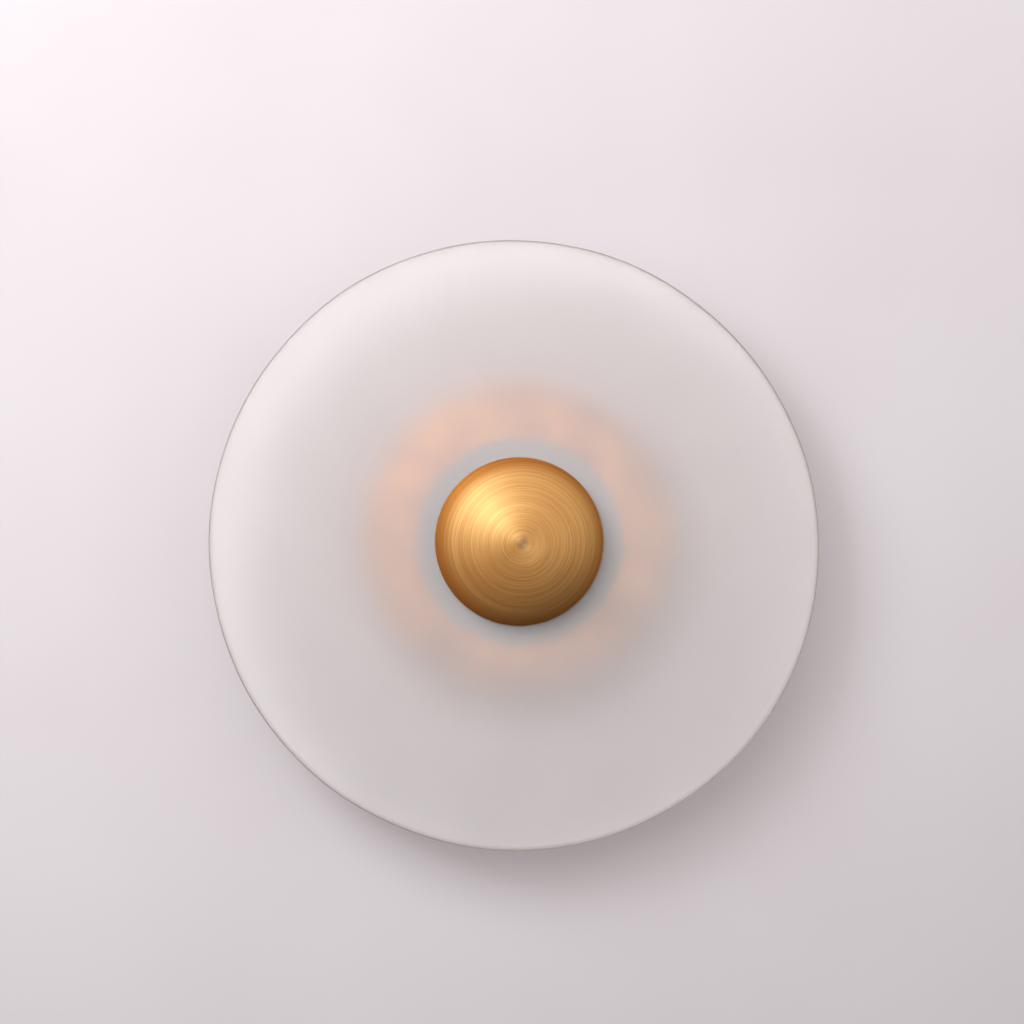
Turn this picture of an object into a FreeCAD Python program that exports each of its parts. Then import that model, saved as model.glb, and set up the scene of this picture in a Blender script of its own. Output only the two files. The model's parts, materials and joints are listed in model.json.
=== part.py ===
"""A round wall light: a hand-made frosted glass disc in front of a spun brass canopy.

A brass dome cap screws on a hollow stud and clamps the disc. A ring of LEDs lies in a recess of the
canopy, under an opal ring that shows round the dome.

Millimetres. The wall is the plane Y = 0, the light faces -Y and +Z is up. A depth is a distance from
the wall, so a point at depth d lies at Y = -d. The origin is the middle of the bracket's back face.
"""
import FreeCAD, Part
import math
import os

# Glass disc
GLASS_RADIUS = 150.0
GLASS_THICKNESS = 8.0
GLASS_EDGE_ROUND = 3.2
GLASS_HOLE_RADIUS = 7.0
GLASS_OFF_X = -2.5  # the disc's middle, from the hole
GLASS_OFF_Z = -2.2
GLASS_OVAL = 0.62  # how far the outline leaves a circle, up and down
GLASS_OVAL_TURN = -48.0  # where it is widest, in degrees from +X
RIM_WAVES = ((3, 0.16, -28.0), (7, 0.12, 18.0), (13, 0.08, 13.0))  # crests, height, degrees to the first
RIM_POINTS_PER_CREST = 6

# Canopy: a spun brass shell with a recess in its front
CANOPY_RADIUS = 79.0
CANOPY_SKIRT = 8.0  # its straight part, next to the wall
CANOPY_DEPTH = 24.0
CANOPY_SHEET = 1.2
RECESS_RADIUS = 51.0
RECESS_DEPTH = 9.0
LIP_WIDTH = 2.4

# Dome cap and its threaded boss
DOME_RADIUS = 41.25
DOME_RISE = 22.0
DOME_SHEET = 1.2
BOSS_RADIUS = 9.0
BOSS_FLANGE_RADIUS = 14.0
BOSS_FLANGE_THICKNESS = 2.0
NOSE_RADIUS = 7.5
NOSE_LIP = 0.4
NOSE_LIP_THICKNESS = 0.5
CAP_TRAVEL = 6.0  # what the thread holds, six turns of 1 mm

# Stud, hub and glass fittings
STUD_RADIUS = 5.0
STUD_BORE_RADIUS = 3.4
STUD_TAIL = 1.5  # what stands out of the nut
NUT_ACROSS_FLATS = 14.0
NUT_THICKNESS = 4.0
LOCK_WASHER_RADIUS = 9.0
LOCK_WASHER_THICKNESS = 0.8
LOCK_WASHER_TEETH = 10
LOCK_WASHER_NOTCH = 1.2
HUB_RADIUS = 12.5
HUB_STEP_RADIUS = 15.5
GASKET_THICKNESS = 1.0
BUSH_FLANGE_RADIUS = 13.0
BUSH_FLANGE_THICKNESS = 1.0
SLIP_WASHER_RADIUS = 14.0
SLIP_WASHER_THICKNESS = 2.0
SLIP_WASHER_WEB = 1.0

# LED ring
SPREADER_THICKNESS = 2.0
BOARD_THICKNESS = 1.2
BOARD_INNER_RADIUS = 19.0
CHIP_COUNT = 30
CHIP_INSET = 4.9  # from the diffuser's skirt to the middle of a chip
CHIP_LENGTH = 3.5
CHIP_WIDTH = 2.8
CHIP_HEIGHT = 0.7
DIFFUSER_WALL = 2.0
DIFFUSER_EDGE_ROUND = 0.5
BOARD_SCREW_COUNT = 3
BOARD_SCREW_PLACE = 25.0  # from the middle of the light
BOARD_SCREW_TURN = 90.0  # where the first one is, in degrees from +X

# Wall bracket
STRAP_WIDTH = 24.0
STRAP_THICKNESS = 2.0
STRAP_BEND = 3.0  # outside radius
STRAP_SHOULDER = 58.0  # half the length of its wide part
TAB_WIDTH = 12.0
TAB_HEIGHT = 8.6
CABLE_HOLE_RADIUS = 8.0
SLOT_WIDTH = 4.5
SLOT_LENGTH = 12.0
SLOT_SPACINGS = (60.0, 88.9)  # wall boxes of two standards
SIDE_SCREW_DEPTH = 4.4
SIDE_SCREW_REACH = 2.0  # past the tab

# Grommets
GROMMET_BORE_RADIUS = 4.0
GROMMET_COLLAR = 2.0
GROMMET_COLLAR_THICKNESS = 1.2
LEAD_GROMMET_BORE_RADIUS = 2.6
LEAD_HOLE_RADIUS = 3.6
LEAD_HOLE_REACH = 12.0  # from the driver's right end
LEAD_HOLE_DROP = 8.0  # from the driver's middle

# Driver
DRIVER_LENGTH = 52.0
DRIVER_WIDTH = 24.0
DRIVER_HEIGHT = 10.6
DRIVER_CORNER = 2.0
DRIVER_X = -7.0
DRIVER_INSET = 21.0  # from the recess's wall to the driver's middle
DRIVER_EAR_RADIUS = 4.5
DRIVER_EAR_PLACE = 3.5  # its hole, from the end of the case

# Terminal block
POLE_COUNT = 3
POLE_PITCH = 7.0
POLE_LENGTH = 15.0  # along the wires
POLE_HEIGHT = 9.5
POLE_BASE_HEIGHT = 5.0
POLE_HUMP_WIDTH = 5.8
POLE_SCREW_SPACING = 8.0
TERMINAL_INSET = 19.0  # from the recess's wall to the block's middle
TERMINAL_SCREW_RADIUS = 1.5
TERMINAL_SCREW_SUNK = 0.8
TERMINAL_EAR_RADIUS = 3.2
TERMINAL_EAR_PLACE = 2.7  # its hole, from the end of the last pole
WIRE_HOLE_RADIUS = 1.8

# Screws and leads
M4_RADIUS = 2.0
M3_RADIUS = 1.5
HEAD_RATIO = 1.8  # head radius over thread radius
HEAD_HEIGHT_RATIO = 0.9
DRIVE_SLOT_RATIO = 0.3
DRIVE_SLOT_DEPTH_RATIO = 0.4
EAR_THICKNESS = 1.6
LEAD_RADIUS = 1.1
LEAD_BEND = 4.0
LEAD_HEIGHT = 4.6  # from the canopy's floor to the leads
LEAD_STEP = 7.0  # between neighbours that turn side by side
LEAD_INSERTED = 6.0  # into its pole
MAINS_LEAD_REACH = 12.0  # how far the inner one goes past the driver
MAINS_LEAD_SPACING = 11.0
LED_LEAD_SPACING = 2.6
RING_TERMINAL_RADIUS = 4.2
RING_TERMINAL_THICKNESS = 0.8
CRIMP_RADIUS = 1.6
CRIMP_LENGTH = 5.0
NECK_OVERLAP = 1.0  # of the flat neck under the crimped sleeve
EARTH_LEAD_RISE = 11.0  # where it comes down to the strap, from its pole
EARTH_SCREW_X = -18.5

# Clearances
RUNNING = 0.05  # round a shaft that turns
FIT = 0.1  # between pieces that are put together
SOLDER = 0.05
PART_GAP = 0.3  # between pieces that move apart
SCREW_CLEARANCE = 0.3  # in a plain hole

# Depths from the wall, back to front
FLOOR_FRONT = CANOPY_DEPTH - RECESS_DEPTH
FLOOR_BACK = FLOOR_FRONT - CANOPY_SHEET
SPREADER_FRONT = FLOOR_FRONT + SPREADER_THICKNESS
BOARD_FRONT = SPREADER_FRONT + BOARD_THICKNESS
DIFFUSER_BACK = CANOPY_DEPTH - DIFFUSER_WALL
GLASS_BACK = CANOPY_DEPTH + GASKET_THICKNESS
GLASS_FRONT = GLASS_BACK + GLASS_THICKNESS
BUSH_FRONT = GLASS_FRONT + BUSH_FLANGE_THICKNESS
SLIP_BACK = BUSH_FRONT + PART_GAP
SLIP_FRONT = SLIP_BACK + SLIP_WASHER_THICKNESS
WEB_BACK = SLIP_FRONT - SLIP_WASHER_WEB
BOSS_BACK = SLIP_FRONT + PART_GAP
NOSE_LIP_FRONT = WEB_BACK - PART_GAP
NOSE_BACK = NOSE_LIP_FRONT - NOSE_LIP_THICKNESS
STUD_FRONT = NOSE_BACK + CAP_TRAVEL
NUT_FRONT = FLOOR_BACK - LOCK_WASHER_THICKNESS
NUT_BACK = NUT_FRONT - NUT_THICKNESS
STUD_BACK = NUT_BACK - STUD_TAIL
DOME_BACK = GLASS_FRONT + PART_GAP
DOME_TOP = DOME_BACK + DOME_RISE

# Radii and places that follow
INSIDE_RADIUS = CANOPY_RADIUS - CANOPY_SHEET
DOME_SPHERE = (DOME_RADIUS**2 + DOME_RISE**2) / (2 * DOME_RISE)
DOME_CENTRE = DOME_TOP - DOME_SPHERE
STUD_HOLE_RADIUS = STUD_RADIUS + RUNNING
SPREADER_RADIUS = RECESS_RADIUS - FIT
DIFFUSER_SKIRT_RADIUS = SPREADER_RADIUS - DIFFUSER_WALL
BOARD_RADIUS = DIFFUSER_SKIRT_RADIUS - FIT
TAB_FACE = math.sqrt(INSIDE_RADIUS**2 - (TAB_WIDTH / 2) ** 2) - FIT
CHIP_RING_RADIUS = DIFFUSER_SKIRT_RADIUS - CHIP_INSET
DRIVER_Z = RECESS_RADIUS - DRIVER_INSET
TERMINAL_Z = TERMINAL_INSET - RECESS_RADIUS
LEAD_HOLE_X = DRIVER_X + DRIVER_LENGTH / 2 + LEAD_HOLE_REACH
LEAD_HOLE_Z = DRIVER_Z - LEAD_HOLE_DROP
DRIVER_BACK = FLOOR_BACK - DRIVER_HEIGHT
TERMINAL_BACK = FLOOR_BACK - POLE_HEIGHT
TERMINAL_LENGTH = POLE_COUNT * POLE_PITCH
EAR_BACK = FLOOR_BACK - EAR_THICKNESS
LEAD_DEPTH = FLOOR_BACK - LEAD_HEIGHT
CRIMP_DEPTH = STRAP_THICKNESS + CRIMP_RADIUS + FIT


def at(x, depth, z):
    """The point at this depth from the wall."""
    return FreeCAD.Vector(x, -depth, z)


MIDDLE = at(0, 0, 0)
OUTWARD = at(0, 1, 0)
SIDEWAYS = at(1, 0, 0)
UPWARD = at(0, 0, 1)


def line(start, end):
    return Part.LineSegment(start, end).toShape()


def arc(start, middle, end):
    return Part.Arc(start, middle, end).toShape()


def sphere_point(sphere, radius):
    """The point of a turned profile where a sphere round the dome's centre has this radius."""
    return at(radius, DOME_CENTRE + math.sqrt(sphere**2 - radius**2), 0)


def quarter_ellipse(centre, across, along):
    """A quarter of an ellipse in a turned profile, from its outermost point to its foremost one."""
    curve = Part.BezierCurve()
    curve.setPoles([centre + at(across, 0, 0), centre + at(across, along, 0), centre + at(0, along, 0)])
    curve.setWeight(2, math.sqrt(0.5))
    return curve.toShape()


def turned(edges):
    """The solid that a closed profile makes when it turns round the middle axis."""
    wire = Part.Wire(Part.sortEdges(edges)[0])
    return Part.Face(wire).revolve(MIDDLE, OUTWARD, 360)


def turned_polygon(points):
    """A turned solid with straight edges only, from (radius, depth) corners."""
    corners = [at(radius, depth, 0) for radius, depth in points]
    return turned([line(a, b) for a, b in zip(corners, corners[1:] + corners[:1])])


def rod(radius, back, front, x=0.0, z=0.0):
    return Part.makeCylinder(radius, front - back, at(x, back, z), OUTWARD)


def rods(radius, back, front, places):
    return [rod(radius, back, front, x, z) for x, z in places]


def ring(inner, outer, back, front, x=0.0, z=0.0):
    return rod(outer, back, front, x, z).cut(rod(inner, back, front, x, z))


def block(middle_x, length, back, front, middle_z, width):
    corner = FreeCAD.Vector(middle_x - length / 2, -front, middle_z - width / 2)
    return Part.makeBox(length, front - back, width, corner)


def hexagon(across_flats, back, front):
    corner_radius = across_flats / math.sqrt(3)
    angles = [math.radians(60 * step) for step in range(7)]
    points = [at(corner_radius * math.cos(a), back, corner_radius * math.sin(a)) for a in angles]
    return Part.Face(Part.makePolygon(points)).extrude(OUTWARD * (front - back))


def soft_edges(solid, radius, keep):
    """Rounds the edges that keep(edge) chooses."""
    return solid.makeFillet(radius, [edge for edge in solid.Edges if keep(edge)])


def on_circle(count, radius, first_degrees=0.0):
    """(x, z) places spread evenly round the middle axis."""
    angles = [math.radians(first_degrees + 360 * step / count) for step in range(count)]
    return [(radius * math.cos(a), radius * math.sin(a)) for a in angles]


def screw(thread_radius, seat, tip, along):
    """A round-headed slotted screw. seat and tip are points, and along points from tip to head."""
    head_radius = HEAD_RATIO * thread_radius
    head_height = HEAD_HEIGHT_RATIO * thread_radius
    shank = Part.makeCylinder(thread_radius, (seat - tip).Length, tip, along)
    head = Part.makeCylinder(head_radius, head_height, seat, along)
    top = seat + along * head_height
    head = soft_edges(head, head_height / 2, lambda edge: is_rim_at(edge, top, head_radius))
    slot_width = DRIVE_SLOT_RATIO * head_radius
    slot_depth = DRIVE_SLOT_DEPTH_RATIO * head_height
    slot = Part.makeBox(3 * head_radius, slot_width, slot_depth)
    slot.translate(FreeCAD.Vector(-1.5 * head_radius, -slot_width / 2, head_height - slot_depth))
    turn = FreeCAD.Rotation(UPWARD, along)
    slot.Placement = FreeCAD.Placement(seat, turn) * slot.Placement
    return shank.fuse(head).cut(slot).removeSplitter()


def is_rim_at(edge, centre, radius):
    """Whether an edge is the circle of this radius round this point."""
    curve = edge.Curve
    if not isinstance(curve, Part.Circle):
        return False
    return (curve.Center - centre).Length < 1e-6 and abs(curve.Radius - radius) < 1e-6


def lead(points):
    """A round wire along straight runs joined by tangent arcs."""
    edges = []
    start = points[0]
    for before, corner, after in zip(points, points[1:], points[2:]):
        come = (corner - before).normalize()
        leave = (after - corner).normalize()
        half_turn = come.getAngle(leave) / 2
        tangent = LEAD_BEND * math.tan(half_turn)
        inward = (leave - come).normalize()
        sagitta = LEAD_BEND / math.cos(half_turn) - LEAD_BEND
        bend_start = corner - come * tangent
        bend_end = corner + leave * tangent
        edges.append(line(start, bend_start))
        edges.append(arc(bend_start, corner + inward * sagitta, bend_end))
        start = bend_end
    edges.append(line(start, points[-1]))
    route = Part.Wire(edges)
    section = Part.Wire(Part.Circle(points[0], points[1] - points[0], LEAD_RADIUS).toShape())
    return route.makePipeShell([section], True, True)


def glass_outline_radius(angle):
    """The disc's radius at an angle from +X: a circle, made a little oval and softly wavy by hand."""
    radius = GLASS_RADIUS + GLASS_OVAL * math.cos(2 * (angle - math.radians(GLASS_OVAL_TURN)))
    for crests, height, place in RIM_WAVES:
        radius += height * math.cos(crests * (angle - math.radians(place)))
    return radius


def glass_disc():
    count = RIM_POINTS_PER_CREST * max(crests for crests, height, place in RIM_WAVES)
    points = []
    for step in range(count):
        angle = 2 * math.pi * step / count
        radius = glass_outline_radius(angle)
        x = GLASS_OFF_X + radius * math.cos(angle)
        z = GLASS_OFF_Z + radius * math.sin(angle)
        points.append(at(x, GLASS_BACK, z))
    outline = Part.BSplineCurve()
    outline.interpolate(Points=points, PeriodicFlag=True)
    face = Part.Face(Part.Wire(outline.toShape()))
    disc = face.extrude(OUTWARD * GLASS_THICKNESS)
    disc = soft_edges(disc, GLASS_EDGE_ROUND, lambda edge: abs(edge.BoundBox.YLength) < 1e-3)
    return disc.cut(rod(GLASS_HOLE_RADIUS, GLASS_BACK, GLASS_FRONT))


def canopy():
    """One spun sheet: straight skirt, elliptical shoulder, narrow lip, then back down into the recess."""
    lip_radius = RECESS_RADIUS + LIP_WIDTH
    across = CANOPY_RADIUS - lip_radius
    along = CANOPY_DEPTH - CANOPY_SKIRT
    shoulder_centre = at(lip_radius, CANOPY_SKIRT, 0)
    back_of_lip = CANOPY_DEPTH - CANOPY_SHEET
    wall_radius = RECESS_RADIUS + CANOPY_SHEET
    shell = turned(
        [
            line(at(CANOPY_RADIUS, 0, 0), at(CANOPY_RADIUS, CANOPY_SKIRT, 0)),
            quarter_ellipse(shoulder_centre, across, along),
            line(at(lip_radius, CANOPY_DEPTH, 0), at(RECESS_RADIUS, CANOPY_DEPTH, 0)),
            line(at(RECESS_RADIUS, CANOPY_DEPTH, 0), at(RECESS_RADIUS, FLOOR_FRONT, 0)),
            line(at(RECESS_RADIUS, FLOOR_FRONT, 0), at(STUD_HOLE_RADIUS, FLOOR_FRONT, 0)),
            line(at(STUD_HOLE_RADIUS, FLOOR_FRONT, 0), at(STUD_HOLE_RADIUS, FLOOR_BACK, 0)),
            line(at(STUD_HOLE_RADIUS, FLOOR_BACK, 0), at(wall_radius, FLOOR_BACK, 0)),
            line(at(wall_radius, FLOOR_BACK, 0), at(wall_radius, back_of_lip, 0)),
            line(at(wall_radius, back_of_lip, 0), at(lip_radius, back_of_lip, 0)),
            quarter_ellipse(shoulder_centre, across - CANOPY_SHEET, along - CANOPY_SHEET),
            line(at(INSIDE_RADIUS, CANOPY_SKIRT, 0), at(INSIDE_RADIUS, 0, 0)),
            line(at(INSIDE_RADIUS, 0, 0), at(CANOPY_RADIUS, 0, 0)),
        ]
    )
    side_hole = Part.makeCylinder(
        M4_RADIUS + SCREW_CLEARANCE,
        2 * CANOPY_RADIUS + 2,
        at(-CANOPY_RADIUS - 1, SIDE_SCREW_DEPTH, 0),
        SIDEWAYS,
    )
    return shell.cut([side_hole] + floor_holes())


def floor_holes():
    """Holes through the canopy's floor for the screws that pass it, and for the leads."""
    places = driver_ear_places() + terminal_ear_places()
    holes = rods(M3_RADIUS + SCREW_CLEARANCE, FLOOR_BACK, FLOOR_FRONT, places)
    holes.append(rod(LEAD_HOLE_RADIUS, FLOOR_BACK, FLOOR_FRONT, LEAD_HOLE_X, LEAD_HOLE_Z))
    return holes


def driver_ear_places():
    reach = DRIVER_LENGTH / 2 + DRIVER_EAR_PLACE
    return [(DRIVER_X + side * reach, DRIVER_Z) for side in (-1, 1)]


def terminal_ear_places():
    reach = TERMINAL_LENGTH / 2 + TERMINAL_EAR_PLACE
    return [(0, TERMINAL_Z + side * reach) for side in (-1, 1)]


def board_screw_places():
    return on_circle(BOARD_SCREW_COUNT, BOARD_SCREW_PLACE, BOARD_SCREW_TURN)


def mounting_bracket():
    """A steel strap with two bent tabs, slots for two wall boxes, and a hole for the cable."""
    profile = bracket_profile().extrude(UPWARD * STRAP_WIDTH)
    profile.translate(UPWARD * (-STRAP_WIDTH / 2))
    wide = block(0, 2 * STRAP_SHOULDER, 0, TAB_HEIGHT, 0, STRAP_WIDTH)
    wide = soft_edges(wide, STRAP_BEND, lambda edge: edge.BoundBox.YLength > TAB_HEIGHT - 1e-3)
    narrow = block(0, 2 * TAB_FACE, 0, TAB_HEIGHT, 0, TAB_WIDTH)
    strap = profile.common(wide.fuse(narrow))
    holes = [rod(CABLE_HOLE_RADIUS, -1, STRAP_THICKNESS + 1)]
    for spacing in SLOT_SPACINGS:
        holes += [wall_slot(side * spacing / 2) for side in (-1, 1)]
    holes.append(
        Part.makeCylinder(
            M4_RADIUS + RUNNING,
            2 * TAB_FACE + 2,
            at(-TAB_FACE - 1, SIDE_SCREW_DEPTH, 0),
            SIDEWAYS,
        )
    )
    holes.append(rod(M4_RADIUS + RUNNING, -1, STRAP_THICKNESS + 1, EARTH_SCREW_X, 0))
    return strap.cut(holes)


def bracket_profile():
    """The strap's side view as a face: a shallow U whose two bends are round inside and out."""
    outer = STRAP_BEND
    inner = STRAP_BEND - STRAP_THICKNESS
    edges = []
    for side in (-1, 1):
        centre = at(side * (TAB_FACE - STRAP_BEND), STRAP_BEND, 0)
        for radius in (outer, inner):
            foot = centre + at(0, -radius, 0)
            knee = centre + at(side * radius, 0, 0)
            half = centre + at(side * radius * math.sqrt(0.5), -radius * math.sqrt(0.5), 0)
            edges.append(arc(foot, half, knee))
            edges.append(line(knee, at(knee.x, TAB_HEIGHT, 0)))
        tip = side * TAB_FACE
        edges.append(line(at(tip, TAB_HEIGHT, 0), at(tip - side * STRAP_THICKNESS, TAB_HEIGHT, 0)))
    reach = TAB_FACE - STRAP_BEND
    edges.append(line(at(-reach, 0, 0), at(reach, 0, 0)))
    edges.append(line(at(-reach, STRAP_THICKNESS, 0), at(reach, STRAP_THICKNESS, 0)))
    return Part.Face(Part.Wire(Part.sortEdges(edges)[0]))


def wall_slot(x):
    """A slot with round ends through the strap, along X."""
    half_run = (SLOT_LENGTH - SLOT_WIDTH) / 2
    middle = block(x, 2 * half_run, -1, STRAP_THICKNESS + 1, 0, SLOT_WIDTH)
    ends = [rod(SLOT_WIDTH / 2, -1, STRAP_THICKNESS + 1, x + side * half_run, 0) for side in (-1, 1)]
    return middle.fuse(ends).removeSplitter()


def cable_grommet():
    """It has a collar on the inside only, so that the bracket lies flat on the wall."""
    collar = CABLE_HOLE_RADIUS + GROMMET_COLLAR
    neck = CABLE_HOLE_RADIUS - FIT
    return turned_polygon(
        [
            (GROMMET_BORE_RADIUS, 0),
            (neck, 0),
            (neck, STRAP_THICKNESS),
            (collar, STRAP_THICKNESS),
            (collar, STRAP_THICKNESS + GROMMET_COLLAR_THICKNESS),
            (GROMMET_BORE_RADIUS, STRAP_THICKNESS + GROMMET_COLLAR_THICKNESS),
        ]
    )


def lead_grommet():
    """A rubber ring that grips the edge of the floor's hole, with a collar on both sides."""
    collar = LEAD_HOLE_RADIUS + GROMMET_COLLAR
    neck = LEAD_HOLE_RADIUS - FIT
    back = FLOOR_BACK - GROMMET_COLLAR_THICKNESS
    front = FLOOR_FRONT + GROMMET_COLLAR_THICKNESS
    body = ring(LEAD_GROMMET_BORE_RADIUS, collar, back, front, LEAD_HOLE_X, LEAD_HOLE_Z)
    return body.cut(ring(neck, collar + 1, FLOOR_BACK, FLOOR_FRONT, LEAD_HOLE_X, LEAD_HOLE_Z))


def canopy_screws():
    screws = []
    for side in (-1, 1):
        along = SIDEWAYS * side
        seat = at(side * CANOPY_RADIUS, SIDE_SCREW_DEPTH, 0)
        tip = at(side * (TAB_FACE - STRAP_THICKNESS - SIDE_SCREW_REACH), SIDE_SCREW_DEPTH, 0)
        screws.append(screw(M4_RADIUS, seat, tip, along))
    return Part.makeCompound(screws)


def earth_screw():
    seat = at(EARTH_SCREW_X, STRAP_THICKNESS + RING_TERMINAL_THICKNESS, 0)
    return screw(M4_RADIUS, seat, at(EARTH_SCREW_X, 0, 0), OUTWARD)


def heat_spreader():
    """An aluminium disc on the canopy's floor, tapped for the screws, with room for the grommet."""
    disc = ring(STUD_HOLE_RADIUS, SPREADER_RADIUS, FLOOR_FRONT, SPREADER_FRONT)
    tapped = driver_ear_places() + terminal_ear_places() + board_screw_places()
    holes = rods(M3_RADIUS + RUNNING, FLOOR_FRONT, SPREADER_FRONT, tapped)
    collar = LEAD_HOLE_RADIUS + GROMMET_COLLAR + FIT
    holes.append(rod(collar, FLOOR_FRONT, SPREADER_FRONT, LEAD_HOLE_X, LEAD_HOLE_Z))
    return disc.cut(holes)


def led_board():
    board = ring(BOARD_INNER_RADIUS, BOARD_RADIUS, SPREADER_FRONT, BOARD_FRONT)
    holes = rods(M3_RADIUS + SCREW_CLEARANCE, SPREADER_FRONT, BOARD_FRONT, board_screw_places())
    holes += rods(LEAD_RADIUS + RUNNING, SPREADER_FRONT, BOARD_FRONT, led_lead_places())
    return board.cut(holes)


def led_lead_places():
    """Where the two LED leads go side by side through the grommet and the board."""
    return [(LEAD_HOLE_X, LEAD_HOLE_Z + side * LED_LEAD_SPACING / 2) for side in (-1, 1)]


def led_chips():
    chips = []
    for step in range(CHIP_COUNT):
        chip = block(CHIP_RING_RADIUS, CHIP_LENGTH, BOARD_FRONT, BOARD_FRONT + CHIP_HEIGHT, 0, CHIP_WIDTH)
        chip.rotate(MIDDLE, OUTWARD, 360 * step / CHIP_COUNT)
        chips.append(chip)
    return Part.makeCompound(chips)


def board_screws():
    screws = []
    for x, z in board_screw_places():
        screws.append(screw(M3_RADIUS, at(x, BOARD_FRONT, z), at(x, FLOOR_FRONT, z), OUTWARD))
    return Part.makeCompound(screws)


def diffuser_ring():
    """An opal ring with a skirt that stands on the heat spreader. Its inner edge rests on the hub."""
    ring_shape = turned_polygon(
        [
            (SPREADER_RADIUS, SPREADER_FRONT),
            (SPREADER_RADIUS, CANOPY_DEPTH),
            (HUB_RADIUS + FIT, CANOPY_DEPTH),
            (HUB_RADIUS + FIT, DIFFUSER_BACK),
            (DIFFUSER_SKIRT_RADIUS, DIFFUSER_BACK),
            (DIFFUSER_SKIRT_RADIUS, SPREADER_FRONT),
        ]
    )
    front = at(0, CANOPY_DEPTH, 0)
    return soft_edges(ring_shape, DIFFUSER_EDGE_ROUND, lambda edge: is_rim_at(edge, front, SPREADER_RADIUS))


def hub_sleeve():
    return turned_polygon(
        [
            (STUD_HOLE_RADIUS, SPREADER_FRONT),
            (HUB_STEP_RADIUS, SPREADER_FRONT),
            (HUB_STEP_RADIUS, DIFFUSER_BACK),
            (HUB_RADIUS, DIFFUSER_BACK),
            (HUB_RADIUS, CANOPY_DEPTH),
            (STUD_HOLE_RADIUS, CANOPY_DEPTH),
        ]
    )


def centre_stud():
    return ring(STUD_BORE_RADIUS, STUD_RADIUS, STUD_BACK, STUD_FRONT)


def rear_nut():
    return hexagon(NUT_ACROSS_FLATS, NUT_BACK, NUT_FRONT).cut(rod(STUD_HOLE_RADIUS, NUT_BACK, NUT_FRONT))


def lock_washer():
    """A thin washer with notches round its edge."""
    washer = ring(STUD_HOLE_RADIUS, LOCK_WASHER_RADIUS, NUT_FRONT, FLOOR_BACK)
    notches = []
    for x, z in on_circle(LOCK_WASHER_TEETH, LOCK_WASHER_RADIUS):
        notches.append(rod(LOCK_WASHER_NOTCH, NUT_FRONT, FLOOR_BACK, x, z))
    return washer.cut(notches)


def rear_gasket():
    return ring(STUD_HOLE_RADIUS, HUB_RADIUS, CANOPY_DEPTH, GLASS_BACK)


def glass_bush():
    """A nylon bush that keeps the glass off the stud, with a flange on the front."""
    sleeve_radius = GLASS_HOLE_RADIUS - FIT
    return turned_polygon(
        [
            (STUD_HOLE_RADIUS, GLASS_BACK),
            (sleeve_radius, GLASS_BACK),
            (sleeve_radius, GLASS_FRONT),
            (BUSH_FLANGE_RADIUS, GLASS_FRONT),
            (BUSH_FLANGE_RADIUS, BUSH_FRONT),
            (STUD_HOLE_RADIUS, BUSH_FRONT),
        ]
    )


def slip_washer():
    """A nylon washer whose web snaps behind the lip of the boss's nose."""
    pocket_radius = NOSE_RADIUS + NOSE_LIP + PART_GAP
    return turned_polygon(
        [
            (pocket_radius, SLIP_BACK),
            (SLIP_WASHER_RADIUS, SLIP_BACK),
            (SLIP_WASHER_RADIUS, SLIP_FRONT),
            (NOSE_RADIUS + RUNNING, SLIP_FRONT),
            (NOSE_RADIUS + RUNNING, WEB_BACK),
            (pocket_radius, WEB_BACK),
        ]
    )


def cap_dome():
    """A spun cap: a slice of a sphere, with a flat rim."""
    outer = DOME_SPHERE
    inner = DOME_SPHERE - DOME_SHEET
    outer_rim = at(DOME_RADIUS, DOME_BACK, 0)
    inner_rim_radius = math.sqrt(inner**2 - (DOME_BACK - DOME_CENTRE) ** 2)
    inner_rim = at(inner_rim_radius, DOME_BACK, 0)
    return turned(
        [
            arc(outer_rim, sphere_point(outer, DOME_RADIUS / 2), at(0, DOME_TOP, 0)),
            line(at(0, DOME_TOP, 0), at(0, DOME_TOP - DOME_SHEET, 0)),
            arc(at(0, DOME_TOP - DOME_SHEET, 0), sphere_point(inner, inner_rim_radius / 2), inner_rim),
            line(inner_rim, outer_rim),
        ]
    )


def cap_boss():
    """A turned boss soldered into the dome: nose with snap lip, flange, neck, and a head to fit the dome."""
    head_sphere = DOME_SPHERE - DOME_SHEET - SOLDER
    head_rim = sphere_point(head_sphere, BOSS_RADIUS)
    head_top = sphere_point(head_sphere, 0)
    corners = [
        (0, STUD_FRONT + CAP_TRAVEL),
        (STUD_HOLE_RADIUS, STUD_FRONT + CAP_TRAVEL),
        (STUD_HOLE_RADIUS, NOSE_BACK),
        (NOSE_RADIUS + NOSE_LIP, NOSE_BACK),
        (NOSE_RADIUS + NOSE_LIP, NOSE_LIP_FRONT),
        (NOSE_RADIUS, NOSE_LIP_FRONT),
        (NOSE_RADIUS, BOSS_BACK),
        (BOSS_FLANGE_RADIUS, BOSS_BACK),
        (BOSS_FLANGE_RADIUS, BOSS_BACK + BOSS_FLANGE_THICKNESS),
        (BOSS_RADIUS, BOSS_BACK + BOSS_FLANGE_THICKNESS),
    ]
    points = [at(radius, depth, 0) for radius, depth in corners] + [head_rim]
    edges = [line(a, b) for a, b in zip(points, points[1:])]
    edges.append(arc(head_rim, sphere_point(head_sphere, BOSS_RADIUS / 2), head_top))
    edges.append(line(head_top, points[0]))
    return turned(edges)


def ear(place, body, radius):
    """A flat fixing ear on the canopy's floor: a round pad, and a web as wide to the body's middle."""
    length = max(abs(place[0] - body[0]), 2 * radius)
    width = max(abs(place[1] - body[1]), 2 * radius)
    middle_x = (place[0] + body[0]) / 2
    middle_z = (place[1] + body[1]) / 2
    web = block(middle_x, length, EAR_BACK, FLOOR_BACK, middle_z, width)
    return web.fuse(rod(radius, EAR_BACK, FLOOR_BACK, *place))


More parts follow.
